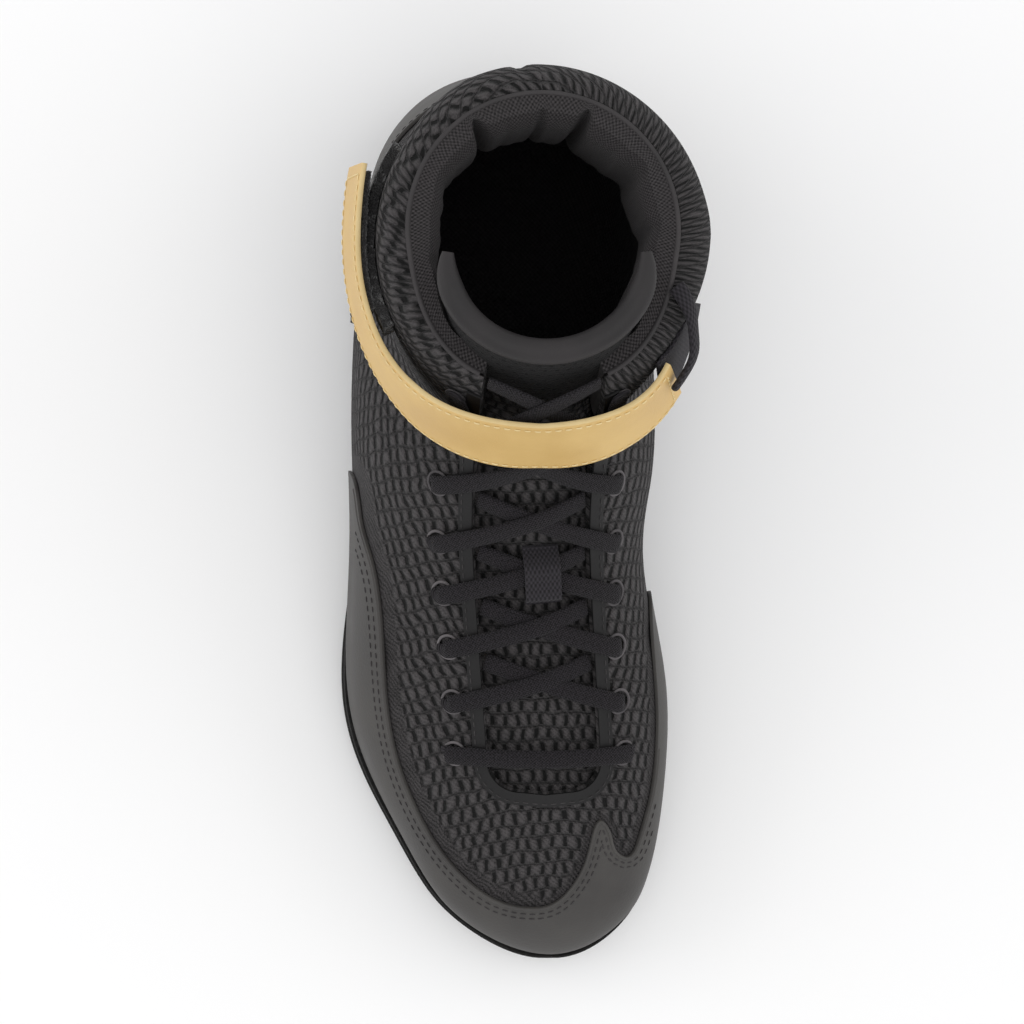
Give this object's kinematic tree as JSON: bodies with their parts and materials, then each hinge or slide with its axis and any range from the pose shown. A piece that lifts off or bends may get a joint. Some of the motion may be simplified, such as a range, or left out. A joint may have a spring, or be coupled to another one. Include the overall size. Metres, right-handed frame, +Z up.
{
  "type": "wrestling shoe",
  "caption": "Right wrestling shoe: high knit upper, grey leather rand and heel counter, flat laces, gold strap round the shaft, padded collar and thin wrap-up rubber sole",
  "frame": {"origin": "on the floor, under the middle of the shoe's box", "axes": "toe towards -Y, heel towards +Y, medial side of the foot towards +X, +Z up"},
  "size_m": [0.1043, 0.281, 0.1668],
  "materials": {
    "sole_rubber": "matt black, finely pebbled",
    "sock_cloth": "fine knit sock cloth on foam",
    "knit": "charcoal knit with rows of dark slots",
    "grey_leather": "smooth matt synthetic leather",
    "webbing": "fine twill and ribbed webbing",
    "lace_cord": "flat woven cord",
    "collar_lining": "soft knit over foam",
    "gold_leather": "matt gold synthetic leather, stitched near both edges",
    "hook_and_loop": "black hook and loop pile"
  },
  "bodies": {
    "root": {"outsole": "sole_rubber", "insole": "sock_cloth", "upper": "knit", "rand": "grey_leather", "heel_counter": "grey_leather", "throat_binding": "grey_leather", "tongue": "knit", "tongue_rim": "grey_leather", "lace_keeper": "webbing", "lace_bar": "lace_cord", "lace_row_2": "lace_cord", "lace_row_3": "lace_cord", "lace_row_4": "lace_cord", "lace_row_5": "lace_cord", "lace_row_6": "lace_cord", "lace_row_7": "lace_cord", "collar_padding": "collar_lining", "strap": "gold_leather", "strap_hook": "hook_and_loop", "shaft_loop_pad": "hook_and_loop", "strap_anchor": "webbing", "strap_keeper": "webbing"}
  },
  "joints": []
}
